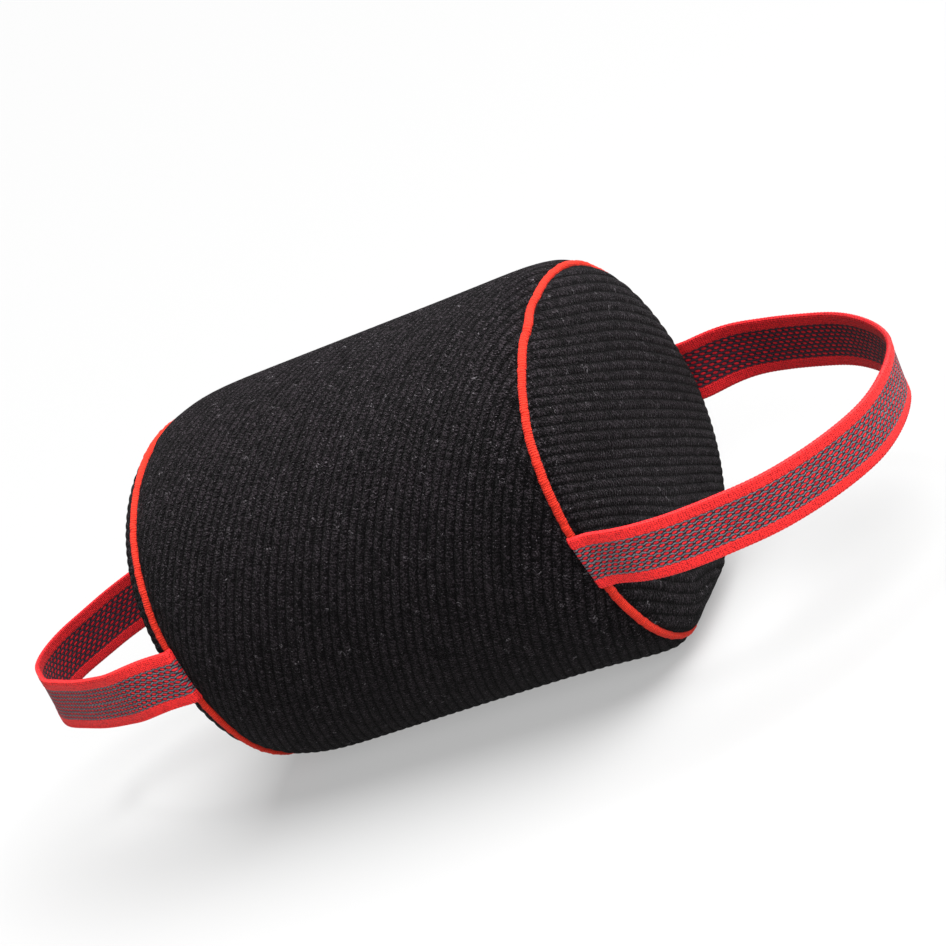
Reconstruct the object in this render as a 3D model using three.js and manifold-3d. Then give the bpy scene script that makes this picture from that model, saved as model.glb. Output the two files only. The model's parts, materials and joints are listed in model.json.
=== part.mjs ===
// Training bumper for dogs: a short, fat, stuffed roll of ribbed fabric with a
// domed panel sewn into each end, red piping round both end seams and a webbing
// loop handle at each end. It lies on its side on a patch pressed flat by its weight.
//
// Frame, in millimetres: X runs along the bumper, Y across it through the places
// where the handles are sewn in, and Z up. The origin is the middle of the resting patch.

import * as THREE from 'three';
import { mergeVertices } from 'three/addons/utils/BufferGeometryUtils.js';
import Module from 'manifold-3d';

const wasm = await Module();
wasm.setup();

// ---- driving dimensions ----

const sideRadius = 62.8; // outer radius of the stuffed cover
const seamHalfLength = 78.5; // from the middle of the body to each end seam
const domeRise = { right: 10.5, left: 16 }; // how far each end panel bulges past its seam
const restPress = 1.8; // how far the underside is pressed flat

const coverThickness = 1.8;
const shoulderLength = 10; // where the cover rounds in to the seam, along X
const shoulderDrop = 6.3; // and across it
const allowanceDepth = 9.5; // fabric turned in at each seam

const beadDiameter = 2.8; // piping, over its tape
const beadProud = 0.9; // bead centre outside the seam edge
const tapeThickness = 0.45;

const liningThickness = 0.8;
const threadDiameter = 0.5;
const closingThreadDiameter = 0.8;
const closingSeamLength = 120;
const closingSeamAngle = -36; // degrees round X from +Y, low on the back

const webbingWidth = 20;
const webbingThickness = 1.8;
const tailReach = 2; // sewn-in webbing beyond the seam, before the handle bends
const barTackLength = 14;
const barTackHeight = 2;

// Each handle: how far it is sewn in below the axis, how many degrees it droops, and half
// of its outline as [distance out from the seam, share of its spread where it is sewn in].
const handles = {
  right: {
    seatDrop: 6.9,
    droop: 5.4,
    outline: [
      [32.2, 0.957], [46.5, 0.887], [61, 0.787], [73.4, 0.623], [82.3, 0.444], [87.3, 0.28],
      [89.5, 0],
    ],
  },
  left: {
    seatDrop: 0,
    droop: 8.6,
    outline: [
      [22, 0.92], [34.2, 0.836], [49.4, 0.727], [64.6, 0.587], [78, 0.453], [87.4, 0.29],
      [92.4, 0.18], [95, 0],
    ],
  },
};

const gap = 0.3; // left between pieces that touch
const columns = 40; // facets round the body
const shoulderSteps = 4;
const domeSteps = 5;
const beadSteps = 3;
const webbingSteps = 40;

// ---- places worked out from them ----

const axisHeight = sideRadius - restPress;
const seamEdgeRadius = sideRadius - shoulderDrop;
const beadRadius = beadDiameter / 2;
const beadRingRadius = seamEdgeRadius + beadProud;
const coverEdge = seamHalfLength - beadRadius - gap;
const panelEdge = seamHalfLength + beadRadius + gap;
const shoulderStart = coverEdge - shoulderLength;
const allowanceRadius = seamEdgeRadius - allowanceDepth;
const flangeHalfWidth = tapeThickness + gap / 2;
const tailOuterFace = beadRadius + gap + webbingThickness; // from the bead's centre
const webbingOffset = beadRingRadius + beadRadius + gap + webbingThickness / 2;
const tailEnd = beadRadius + gap + tailReach; // beyond the seam
const hingeOut = tailEnd + gap + webbingWidth / 2; // handle's bending line, beyond the seam
const hingeX = seamHalfLength + hingeOut;
const stitchGapMiddle = seamHalfLength - flangeHalfWidth - gap - threadDiameter / 2;
const seamThreadRadius = seamEdgeRadius - 2.5;
const barTackOuterRadius = seamThreadRadius - 3;

const fabricBlack = { color: 0x17181a, roughness: 0.95, metalness: 0 };
const tapeRed = { color: 0xe0301c, roughness: 0.8, metalness: 0 };
const webbingRed = { color: 0xc8342a, roughness: 0.75, metalness: 0 };
const cordWhite = { color: 0xe6e2d8, roughness: 0.9, metalness: 0 };
const liningGrey = { color: 0x8c8c88, roughness: 0.9, metalness: 0 };
const fillCream = { color: 0xd9d2c0, roughness: 1, metalness: 0 };
const threadBlack = { color: 0x26262a, roughness: 0.7, metalness: 0 };

// ---- making solids ----

// Shares the vertices, drops triangles with no area and turns the faces outwards.
function closedBody(geometry) {
  const bare = geometry.index ? geometry : mergeVertices(geometry);
  bare.deleteAttribute('normal');
  bare.deleteAttribute('uv');
  const shared = mergeVertices(bare, 1e-4);
  const corner = (i) => new THREE.Vector3().fromBufferAttribute(shared.attributes.position, i);
  const faces = [];
  let volume = 0;
  for (let i = 0; i < shared.index.count; i += 3) {
    const [a, b, c] = [0, 1, 2].map((k) => shared.index.getX(i + k));
    if (a === b || b === c || c === a) continue;
    faces.push([a, b, c]);
    volume += corner(a).dot(corner(b).cross(corner(c)));
  }
  const turned = volume < 0 ? faces.map(([a, b, c]) => [a, c, b]) : faces;
  shared.setIndex(turned.flat());
  shared.computeVertexNormals();
  return shared;
}

function toManifold(geometry) {
  const { position } = geometry.attributes;
  return new wasm.Manifold(new wasm.Mesh({
    numProp: 3,
    vertProperties: new Float32Array(position.array),
    triVerts: new Uint32Array(geometry.index.array),
  }));
}

function fromManifold(solid) {
  const mesh = solid.getMesh();
  const geometry = new THREE.BufferGeometry();
  geometry.setAttribute('position', new THREE.BufferAttribute(mesh.vertProperties, 3));
  geometry.setIndex(Array.from(mesh.triVerts));
  geometry.computeVertexNormals();
  return geometry;
}

// Revolves a profile of [x, radius] points about X, and presses its underside flat
// in proportion to the radius, so that nested layers stay nested.
function revolved(profile) {
  const outline = profile.map(([x, radius]) => new THREE.Vector2(radius, x));
  const geometry = new THREE.LatheGeometry(outline, columns, Math.PI / columns);
  geometry.rotateZ(-Math.PI / 2);
  const { position } = geometry.attributes;
  for (let i = 0; i < position.count; i += 1) {
    const radius = Math.hypot(position.getY(i), position.getZ(i));
    const lowest = -radius * (1 - restPress / sideRadius);
    position.setZ(i, Math.max(position.getZ(i), lowest));
  }
  return closedBody(geometry);
}

// Points on a quarter ellipse, from its X end to its radius end.
function quarterArc(centreX, centreRadius, lengthX, lengthRadius, steps) {
  const points = [];
  for (let i = 0; i <= steps; i += 1) {
    const angle = (i / steps) * (Math.PI / 2);
    points.push([
      centreX + lengthX * Math.cos(angle),
      centreRadius + lengthRadius * Math.sin(angle),
    ]);
  }
  return points;
}

function mirrored(points) {
  return points.map(([x, radius]) => [-x, radius]).reverse();
}

function closedProfile(points) {
  return [...points, points[0]];
}

// The rounded shoulder of a layer that lies `depth` inside the cover's face.
function shoulder(depth) {
  return quarterArc(shoulderStart, seamEdgeRadius, shoulderLength - depth, shoulderDrop - depth,
    shoulderSteps);
}

// The dome of a layer that lies `depth` inside an end panel's face, cut off at `rim`.
function dome(rise, depth, rim = Infinity) {
  const height = rise - (panelEdge - seamHalfLength) - depth;
  const radius = seamEdgeRadius - gap - depth;
  const points = [];
  for (let i = 0; i <= domeSteps; i += 1) {
    const angle = (i / domeSteps) * (Math.PI / 2);
    const atTop = i === domeSteps;
    points.push([panelEdge + height * Math.sin(angle), atTop ? 0 : radius * Math.cos(angle)]);
  }
  const kept = points.filter(([, reach]) => reach < rim);
  if (kept.length === points.length) return points;
  const outside = points[points.length - kept.length - 1];
  const share = (outside[1] - rim) / (outside[1] - kept[0][1]);
  return [[outside[0] + share * (kept[0][0] - outside[0]), rim], ...kept];
}

function placed(name, geometry, finish) {
  const mesh = new THREE.Mesh(geometry, new THREE.MeshStandardMaterial(finish));
  mesh.name = name;
  return mesh;
}

// ---- the stuffed body ----

// A tail's room in the cover: the fabric is notched where the webbing comes through the seam.
function tailRoom(side, edge, seatDrop) {
  const width = webbingWidth + 2 * gap;
  const depth = sideRadius;
  const room = new THREE.BoxGeometry(shoulderLength, depth, width);
  room.translate(
    seamHalfLength - beadRadius - 2 * gap - webbingThickness + shoulderLength / 2,
    allowanceRadius - gap + depth / 2,
    -seatDrop,
  );
  room.scale(side, edge, 1);
  return toManifold(closedBody(room));
}

function mainCover() {
  const outer = [[coverEdge, allowanceRadius], ...shoulder(0)];
  const inner = [[coverEdge - coverThickness, allowanceRadius], ...shoulder(coverThickness)];
  const profile = closedProfile([...outer, ...mirrored(outer), ...mirrored(inner).reverse(),
    ...inner.slice().reverse()]);
  let solid = toManifold(revolved(profile));
  for (const side of [1, -1]) {
    const { seatDrop } = side > 0 ? handles.right : handles.left;
    for (const edge of [1, -1]) {
      solid = solid.subtract(tailRoom(side, edge, seatDrop));
    }
  }
  return fromManifold(solid);
}

function endPanel(side, rise) {
  const flangeFace = seamHalfLength + flangeHalfWidth + gap;
  const backFace = flangeFace + coverThickness;
  const innerDome = dome(rise, coverThickness);
  const innerStart = innerDome.filter(([x]) => x > backFace);
  const profile = [
    ...dome(rise, 0).reverse(),
    [flangeFace, seamEdgeRadius - beadRadius],
    [flangeFace, allowanceRadius],
    [backFace, allowanceRadius],
    [backFace, innerDome[0][1] - gap],
    ...innerStart,
  ];
  return closedBody(revolved(profile).scale(side, 1, 1));
}

// Tape folded round the cord, its two plies running down into the seam with a slit between.
function pipingCover(side) {
  const slit = gap / 2;
  const wallRadius = beadRadius - tapeThickness;
  const legEnd = allowanceRadius - beadRingRadius;
  const arc = (radius, halfWidth) => {
    const last = Math.PI - Math.asin(halfWidth / radius);
    const points = [];
    for (let i = 0; i <= 2 * beadSteps; i += 1) {
      const angle = last * (i / beadSteps - 1);
      points.push([radius * Math.sin(angle), radius * Math.cos(angle)]);
    }
    return points;
  };
  const section = [
    [-flangeHalfWidth, legEnd],
    ...arc(beadRadius, flangeHalfWidth),
    [flangeHalfWidth, legEnd],
    [slit, legEnd],
    ...arc(wallRadius, slit).reverse(),
    [-slit, legEnd],
  ];
  const profile = section.map(([x, radius]) => [seamHalfLength + x, beadRingRadius + radius]);
  return closedBody(revolved(closedProfile(profile)).scale(side, 1, 1));
}

function ring(side, middleX, ringRadius, radius, sides) {
  const profile = [];
  for (let i = 0; i < sides; i += 1) {
    const angle = (i / sides) * 2 * Math.PI;
    profile.push([middleX + radius * Math.cos(angle), ringRadius + radius * Math.sin(angle)]);
  }
  return closedBody(revolved(closedProfile(profile)).scale(side, 1, 1));
}

const liningDepth = coverThickness + gap;
const liningMouth = allowanceRadius - 5 * gap; // the tube's hole, inside the turned-in fabric
const liningWall = liningMouth - gap; // the end cup's outer wall
const coreDepth = liningDepth + liningThickness + gap;

function liningTube() {
  const outer = [[coverEdge - liningDepth, liningMouth], ...shoulder(liningDepth)];
  const inside = liningDepth + liningThickness;
  const inner = [[coverEdge - inside, liningMouth], ...shoulder(inside)];
  return revolved(closedProfile([...outer, ...mirrored(outer), ...mirrored(inner).reverse(),
    ...inner.slice().reverse()]));
}

function liningEnd(side, rise) {
  const inside = liningDepth + liningThickness;
  const wallStart = coverEdge - inside - liningThickness;
  const profile = [
    ...dome(rise, liningDepth, liningWall).reverse(),
    [wallStart, liningWall],
    [wallStart, liningWall - liningThickness],
    ...dome(rise, inside, liningWall - liningThickness),
  ];
  return closedBody(revolved(profile).scale(side, 1, 1));
}

function stuffingCore() {
  const neckRadius = liningWall - liningThickness - gap;
  const neckStart = coverEdge - coreDepth - liningThickness - gap;
  const half = (rise) => [
    ...dome(rise, coreDepth, neckRadius).reverse(),
    [neckStart, neckRadius],
    ...quarterArc(shoulderStart, seamEdgeRadius, neckStart - shoulderStart,
      shoulderDrop - coreDepth, shoulderSteps),
  ];
  return revolved([...half(domeRise.right), ...mirrored(half(domeRise.left))]);
}

// Hand stitching that closes the lengthwise seam after filling.
function closingThread() {
  const radius = closingThreadDiameter / 2;
  const thread = new THREE.CylinderGeometry(radius, radius, closingSeamLength, 8);
  thread.rotateZ(Math.PI / 2);
  thread.translate(0, sideRadius + gap + radius, 0);
  thread.rotateX(THREE.MathUtils.degToRad(closingSeamAngle));
  return closedBody(thread);
}

// ---- the handles ----

// The sewn-in end of a handle: up out of the seam, over the bead and out along X.
function handleTail(side, edge, seatDrop) {
  const outline = new THREE.Shape();
  const bendX = seamHalfLength;
  outline.moveTo(bendX - tailOuterFace, allowanceRadius);
  outline.lineTo(bendX - tailOuterFace, beadRingRadius);
  outline.absarc(bendX, beadRingRadius, tailOuterFace, Math.PI, Math.PI / 2, true);
  outline.lineTo(bendX + tailEnd, beadRingRadius + tailOuterFace);
  outline.lineTo(bendX + tailEnd, beadRingRadius + tailOuterFace - webbingThickness);
  outline.lineTo(bendX, beadRingRadius + tailOuterFace - webbingThickness);
  outline.absarc(bendX, beadRingRadius, beadRadius + gap, Math.PI / 2, Math.PI, false);
  outline.lineTo(bendX - beadRadius - gap, allowanceRadius);
  const options = { depth: webbingWidth, bevelEnabled: false, curveSegments: 5 };
  const tail = new THREE.ExtrudeGeometry(outline, options);
  tail.translate(0, 0, -webbingWidth / 2 - seatDrop);
  tail.scale(side, edge, 1);
  return closedBody(tail);
}

function barTack(side, edge, seatDrop) {
  const tack = new THREE.BoxGeometry(threadDiameter, barTackHeight, barTackLength);
  tack.translate(stitchGapMiddle, barTackOuterRadius - barTackHeight / 2, -seatDrop);
  tack.scale(side, edge, 1);
  return closedBody(tack);
}

// The loop of a handle, about its bending line: it starts and ends in a round root.
function handleLoop(side, { outline }) {
  const out = outline.map(([reach, share]) => [reach - hingeOut, share * webbingOffset]);
  const rootLead = webbingWidth / 4;
  const half = [[0, webbingOffset], [rootLead, webbingOffset], ...out];
  const back = half.slice(0, -1).reverse();
  const points = [
    ...half.map(([x, y]) => new THREE.Vector3(x, -y, 0)),
    ...back.map(([x, y]) => new THREE.Vector3(x, y, 0)),
  ];
  const path = new THREE.CatmullRomCurve3(points, false, 'centripetal');
  const halfWidth = webbingWidth / 2;
  const halfThickness = webbingThickness / 2;
  const section = new THREE.Shape([
    new THREE.Vector2(-halfWidth, -halfThickness),
    new THREE.Vector2(halfWidth, -halfThickness),
    new THREE.Vector2(halfWidth, halfThickness),
    new THREE.Vector2(-halfWidth, halfThickness),
  ]);
  const strap = new THREE.ExtrudeGeometry(section, { steps: webbingSteps, extrudePath: path });
  let solid = toManifold(closedBody(strap));
  const rootThickness = webbingThickness - gap;
  for (const edge of [1, -1]) {
    const root = new THREE.CylinderGeometry(halfWidth, halfWidth, rootThickness, 24);
    root.translate(0, edge * webbingOffset, 0);
    solid = solid.add(toManifold(closedBody(root)));
  }
  return closedBody(fromManifold(solid).scale(side, 1, 1));
}

// ---- the assembly ----

const bumper = new THREE.Group();
bumper.name = 'training_bumper';

const body = new THREE.Group();
body.position.z = axisHeight;
bumper.add(body);

body.add(placed('main_cover', mainCover(), fabricBlack));
body.add(placed('closing_seam_thread', closingThread(), threadBlack));
body.add(placed('lining_tube', liningTube(), liningGrey));
body.add(placed('stuffing_core', stuffingCore(), fillCream));

for (const [end, side] of [['right', 1], ['left', -1]]) {
  const { seatDrop, droop } = handles[end];
  const cordRadius = beadRadius - tapeThickness - gap;

  body.add(placed(`end_panel_${end}`, endPanel(side, domeRise[end]), fabricBlack));
  body.add(placed(`piping_cover_${end}`, pipingCover(side), tapeRed));
  body.add(placed(`piping_cord_${end}`,
    ring(side, seamHalfLength, beadRingRadius, cordRadius, 6), cordWhite));
  body.add(placed(`seam_thread_${end}`,
    ring(side, stitchGapMiddle, seamThreadRadius, threadDiameter / 2, 6), threadBlack));
  body.add(placed(`lining_end_${end}`, liningEnd(side, domeRise[end]), liningGrey));

  for (const [place, edge] of [['front', -1], ['back', 1]]) {
    body.add(placed(`handle_tail_${end}_${place}`, handleTail(side, edge, seatDrop), webbingRed));
    body.add(placed(`bar_tack_${end}_${place}`, barTack(side, edge, seatDrop), threadBlack));
  }

  const swing = new THREE.Group();
  swing.position.set(side * hingeX, 0, -seatDrop);
  swing.rotation.y = side * THREE.MathUtils.degToRad(droop);
  swing.add(placed(`handle_${end}`, handleLoop(side, handles[end]), webbingRed));
  body.add(swing);
}

export default bumper;
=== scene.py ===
# Training bumper: stuffed roll of ribbed cloth, domed ends, red piping, two webbing handles.
import bmesh
import bpy
import json
import math
import numpy as np
from mathutils import Matrix, Vector


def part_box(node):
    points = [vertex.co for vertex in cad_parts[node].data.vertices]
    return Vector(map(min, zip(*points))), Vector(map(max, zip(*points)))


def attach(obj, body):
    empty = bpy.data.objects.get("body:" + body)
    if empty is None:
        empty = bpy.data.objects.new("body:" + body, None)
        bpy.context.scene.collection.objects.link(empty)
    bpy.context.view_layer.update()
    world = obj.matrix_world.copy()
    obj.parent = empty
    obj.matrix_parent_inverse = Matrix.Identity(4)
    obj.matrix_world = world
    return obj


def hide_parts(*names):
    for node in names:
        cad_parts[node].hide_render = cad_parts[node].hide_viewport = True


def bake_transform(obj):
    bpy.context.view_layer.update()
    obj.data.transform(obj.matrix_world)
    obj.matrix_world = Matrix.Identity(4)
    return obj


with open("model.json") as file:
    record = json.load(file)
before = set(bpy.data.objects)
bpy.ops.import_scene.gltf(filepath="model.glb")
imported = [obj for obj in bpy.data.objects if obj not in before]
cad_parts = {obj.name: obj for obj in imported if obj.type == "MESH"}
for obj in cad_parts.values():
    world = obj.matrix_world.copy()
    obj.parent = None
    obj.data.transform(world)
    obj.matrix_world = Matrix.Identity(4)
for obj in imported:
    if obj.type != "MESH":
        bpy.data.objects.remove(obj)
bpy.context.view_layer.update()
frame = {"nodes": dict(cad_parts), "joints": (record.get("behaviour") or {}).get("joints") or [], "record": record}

mm = 0.001
turn = 2 * math.pi
ends = {"right": 1, "left": -1}  # which way along X each end faces
bodyName = "stuffed_body"


def readSizes():
    facets = math.cos(math.pi / 40)  # the frame's round parts have 40 flat sides
    coverLow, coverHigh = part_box("main_cover")
    beadLow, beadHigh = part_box("piping_cover_right")
    hinges = {joint["name"]: joint["pos_m"] for joint in frame["joints"]}
    sizes = {
        "sideRadius": (coverHigh.y - coverLow.y) / 2 / facets,
        "seamHalf": (beadLow.x + beadHigh.x) / 2,
        "beadRadius": (beadHigh.x - beadLow.x) / 2,
        "axisHeight": hinges["handle_left_swing"][2],
        "hinge": {end: hinges["handle_%s_swing" % end] for end in ends},
        "domeTop": {end: abs(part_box("end_panel_" + end)[max(side, 0)].x)
                    for end, side in ends.items()},
        "closingSeam": sum(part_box("closing_seam_thread"), Vector()) / 2,
    }
    sizes["beadRing"] = (beadHigh.y - beadLow.y) / 2 / facets - sizes["beadRadius"]
    return sizes


size = readSizes()
axisHeight = size["axisHeight"]
seamHalf = size["seamHalf"]
seamEdge = size["beadRing"] - 0.9 * mm  # the cloth's radius where it goes into the seam
closingAngle = math.atan2(size["closingSeam"].z - axisHeight, size["closingSeam"].y)

cloth = {
    "ribPitch": 3.12 * mm,
    "ribSlope": 0.507,  # how far a rib drifts along the roll for each length round it
    "ribDepth": 0.38 * mm,
    "endRibAngle": math.radians(-33),
    "stitchPitch": 1.35 * mm,
    "shoulderSharpness": {"right": 16, "left": 9},
}

# how far each seam strays from a circle: waves round the ring, share of its radius, first crest
roundness = {
    "middle": [(2, 0.022, 64)],
    "right": [(0, -0.0148, 0), (1, 0.0105, 131), (2, 0.0496, 61), (3, 0.018, 11), (4, 0.021, -30)],
    "left": [(0, -0.0155, 0), (2, 0.040, 64), (3, 0.009, 11), (4, 0.009, -35)],
}


def waveSum(waves, angle):
    return sum(share * np.cos(count * (angle - math.radians(crest))) for count, share, crest in waves)


def roundShare(x, angle):
    near = np.minimum(np.abs(x) / seamHalf, 1) ** 5
    seam = np.where(x > 0, waveSum(roundness["right"], angle), waveSum(roundness["left"], angle))
    return 1 + waveSum(roundness["middle"], angle) * (1 - near) + seam * near


pressSoftness = 0.6 * mm  # how gently the underside turns into its flat patch
smoothCentre = 0.9  # share of an end panel over which its edge's waves fade in


def onRoll(x, radius, angle):
    # a point of the roll, with its underside pressed on the floor
    fade = np.clip(radius / (smoothCentre * seamEdge), 0, 1)  # the ends stay smooth at their centres
    fade = fade * fade * (3 - 2 * fade)
    reach = radius * (1 + (roundShare(x, angle) - 1) * fade)
    y = reach * np.cos(angle)
    z = reach * np.sin(angle)
    lowest = -axisHeight * radius / size["sideRadius"]
    over = (z - lowest) / pressSoftness
    pressed = lowest + pressSoftness * np.where(over > 30, over, np.log1p(np.exp(np.minimum(over, 30))))
    z = z + (pressed - z) * fade
    return np.stack([x + 0 * y, y, z + axisHeight], axis=-1)


def newMesh(name, points, faces, corners=None, material=None, smooth=True):
    mesh = bpy.data.meshes.new(name)
    faces = np.asarray(faces, dtype=np.int32)
    sides = faces.shape[1]
    mesh.vertices.add(len(points))
    mesh.vertices.foreach_set("co", np.asarray(points, dtype=np.float32).ravel())
    mesh.loops.add(faces.size)
    mesh.loops.foreach_set("vertex_index", faces.ravel())
    mesh.polygons.add(len(faces))
    mesh.polygons.foreach_set("loop_start", np.arange(0, faces.size, sides, dtype=np.int32))
    mesh.update(calc_edges=True)
    if corners is not None:
        layer = mesh.uv_layers.new(name="weave")
        layer.data.foreach_set("uv", np.asarray(corners, dtype=np.float32).ravel())
    if smooth:
        mesh.polygons.foreach_set("use_smooth", np.ones(len(faces), dtype=bool))
    mesh.validate()
    piece = bpy.data.objects.new(name, mesh)
    bpy.context.scene.collection.objects.link(piece)
    if material:
        mesh.materials.append(material)
    return piece


def gridFaces(rows, columns, closed):
    # quads between rows of points; closed joins the last column to the first
    across = columns if closed else columns - 1
    i, j = np.meshgrid(np.arange(rows - 1), np.arange(across), indexing="ij")
    nextJ = (j + 1) % columns
    quads = np.stack([i * columns + j, i * columns + nextJ,
                      (i + 1) * columns + nextJ, (i + 1) * columns + j], axis=-1)
    return quads.reshape(-1, 4)


def faceOutward(piece):
    mesh = piece.data
    mesh.update()
    points = np.empty(len(mesh.vertices) * 3, dtype=np.float64)
    mesh.vertices.foreach_get("co", points)
    points = points.reshape(-1, 3)
    mesh.calc_loop_triangles()
    tris = np.empty(len(mesh.loop_triangles) * 3, dtype=np.int32)
    mesh.loop_triangles.foreach_get("vertices", tris)
    a, b, c = (points[tris.reshape(-1, 3)[:, k]] for k in range(3))
    volume = np.einsum("ij,ij->i", a, np.cross(b, c)).sum()
    if volume < 0:
        mesh.flip_normals()


def pointAttribute(piece, name, values):
    attribute = piece.data.attributes.new(name, "FLOAT", "POINT")
    attribute.data.foreach_set("value", np.asarray(values, dtype=np.float32))


class Shader:
    # a thin wrapper that adds nodes to a material and links them

    def __init__(self, name):
        self.material = bpy.data.materials.new(name)
        self.material.use_nodes = True
        self.tree = self.material.node_tree
        self.bsdf = self.tree.nodes["Principled BSDF"]

    def add(self, kind, **settings):
        node = self.tree.nodes.new(kind)
        for key, value in settings.items():
            setattr(node, key, value)
        return node

    def put(self, socket, value):
        if isinstance(value, bpy.types.NodeSocket):
            self.tree.links.new(value, socket)
        else:
            socket.default_value = value

    def math(self, operation, *values, clamp=False):
        node = self.add("ShaderNodeMath", operation=operation, use_clamp=clamp)
        for socket, value in zip(node.inputs, values):
            self.put(socket, value)
        return node.outputs[0]

    def smooth(self, value, low, high):
        node = self.add("ShaderNodeMapRange", interpolation_type="SMOOTHSTEP")
        for socket, item in zip(node.inputs, (value, low, high, 0.0, 1.0)):
            self.put(socket, item)
        return node.outputs[0]

    def mix(self, share, first, second):
        node = self.add("ShaderNodeMix", data_type="RGBA")
        self.put(node.inputs["Factor"], share)
        self.put(node.inputs[6], first)
        self.put(node.inputs[7], second)
        return node.outputs[2]

    def combine(self, x, y, z=0.0):
        node = self.add("ShaderNodeCombineXYZ")
        for socket, value in zip(node.inputs, (x, y, z)):
            self.put(socket, value)
        return node.outputs[0]

    def uv(self):
        node = self.add("ShaderNodeUVMap", uv_map="weave")
        split = self.add("ShaderNodeSeparateXYZ")
        self.put(split.inputs[0], node.outputs[0])
        return split.outputs[0], split.outputs[1]

    def objectNoise(self, scale, detail=2.0):
        where = self.add("ShaderNodeTexCoord").outputs["Object"]
        node = self.add("ShaderNodeTexNoise")
        self.put(node.inputs["Vector"], where)
        self.put(node.inputs["Scale"], scale)
        self.put(node.inputs["Detail"], detail)
        return node.outputs[0]

    def cellNoise(self, vector):
        node = self.add("ShaderNodeTexWhiteNoise", noise_dimensions="2D")
        self.put(node.inputs["Vector"], vector)
        return node.outputs[0]

    def bump(self, height, distance, strength=1.0, before=None):
        node = self.add("ShaderNodeBump")
        self.put(node.inputs["Height"], height)
        self.put(node.inputs["Distance"], distance)
        self.put(node.inputs["Strength"], strength)
        if before is not None:
            self.put(node.inputs["Normal"], before)
        return node.outputs[0]

    def finish(self, color, roughness, normal, sheen=0.0, sheenRoughness=0.5, specular=0.3):
        self.put(self.bsdf.inputs["Base Color"], color)
        self.put(self.bsdf.inputs["Roughness"], roughness)
        self.put(self.bsdf.inputs["Sheen Weight"], sheen)
        self.put(self.bsdf.inputs["Sheen Roughness"], sheenRoughness)
        self.put(self.bsdf.inputs["Specular IOR Level"], specular)
        if normal is not None:
            self.put(self.bsdf.inputs["Normal"], normal)
        return self.material


def ribbedBlack():
    # each rib is a row of slanted yarn loops; the weave map counts ribs and loops
    s = Shader("ribbedBlack")
    rib, along = s.uv()
    jitter = s.math("SUBTRACT", s.objectNoise(700.0, 2.0), 0.5)
    ribShare = s.math("FRACT", s.math("MULTIPLY_ADD", jitter, 0.22, rib))
    fromMiddle = s.math("ABSOLUTE", s.math("MULTIPLY_ADD", ribShare, 2.0, -1.0))
    ridge = s.math("SUBTRACT", 1.0, s.math("POWER", fromMiddle, 2.0))
    half = s.math("FLOOR", s.math("MULTIPLY", rib, 2.0))
    phase = s.cellNoise(s.combine(half, 7.3))
    loopPlace = s.math("MULTIPLY_ADD", fromMiddle, 0.30, s.math("ADD", along, phase))
    loopPlace = s.math("MULTIPLY_ADD", jitter, 2.4, loopPlace)
    loop = s.math("MULTIPLY_ADD", s.math("SINE", s.math("MULTIPLY", loopPlace, turn)), 0.5, 0.5)
    chance = s.cellNoise(s.combine(half, s.math("FLOOR", loopPlace)))
    fibre = s.objectNoise(2300.0, 4.0)
    grain = s.objectNoise(1700.0, 2.0)
    cloudy = s.objectNoise(45.0, 2.0)
    # painted shade: the colour runs darkest in the valleys between ribs and between loops and lightest on their
    # raised tops; the chance, fibre, grain and cloudy noise are the cloth's own uneven tone
    raised = s.math("MULTIPLY", s.math("MULTIPLY_ADD", loop, 0.85, 0.15), ridge)
    tone = s.math("MULTIPLY", raised, s.math("MULTIPLY_ADD", chance, 1.3, 0.2))
    tone = s.math("MULTIPLY", tone, s.math("MULTIPLY", s.smooth(fibre, 0.32, 0.68), 1.7))
    tone = s.math("MULTIPLY", tone, s.math("MULTIPLY_ADD", cloudy, 0.8, 0.6))
    tone = s.math("MULTIPLY", tone, s.math("MULTIPLY_ADD", s.smooth(grain, 0.36, 0.64), 1.5, 0.25))
    color = s.mix(tone, (0.0005, 0.0004, 0.0005, 1), (0.0255, 0.0205, 0.0242, 1))
    # painted highlight: tiny glints of light off the fibres of the raised loops and off a few single strands
    glint = s.math("MULTIPLY", s.smooth(s.objectNoise(2300.0, 1.0), 0.67, 0.76), raised)
    strandGlint = s.math("MULTIPLY", s.smooth(chance, 0.975, 0.999), s.smooth(fibre, 0.5, 0.62))
    glint = s.math("ADD", glint, s.math("MULTIPLY", strandGlint, loop), clamp=True)
    color = s.mix(glint, color, (0.15, 0.14, 0.15, 1))
    height = s.math("MULTIPLY_ADD", fibre, 1.3, s.math("MULTIPLY_ADD", grain, 1.8, raised))
    normal = s.bump(height, 0.5 * mm, 1.0)
    return s.finish(color, 0.8, normal, sheen=0.02, sheenRoughness=0.45, specular=0.03)


def wovenRed():
    # bias tape: fine diagonal weave round the cord
    s = Shader("wovenRed")
    around, along = s.uv()
    one = s.math("SINE", s.math("MULTIPLY", s.math("ADD", around, along), turn))
    two = s.math("SINE", s.math("MULTIPLY", s.math("SUBTRACT", around, along), turn))
    weave = s.math("MULTIPLY_ADD", s.math("MULTIPLY", one, two), 0.5, 0.5)
    fibre = s.objectNoise(3000.0, 3.0)
    patch = s.objectNoise(160.0, 2.0)
    tone = s.math("MULTIPLY", weave, s.math("MULTIPLY_ADD", s.smooth(fibre, 0.3, 0.7), 0.7, 0.35))
    tone = s.math("MULTIPLY_ADD", patch, 0.25, tone, clamp=True)
    color = s.mix(tone, (0.25, 0.004, 0.004, 1), (0.90, 0.045, 0.020, 1))
    height = s.math("ADD", weave, s.math("MULTIPLY", fibre, 0.6))
    return s.finish(color, 0.7, s.bump(height, 0.3 * mm, 0.9), sheen=0.02, specular=0.1)


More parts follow.
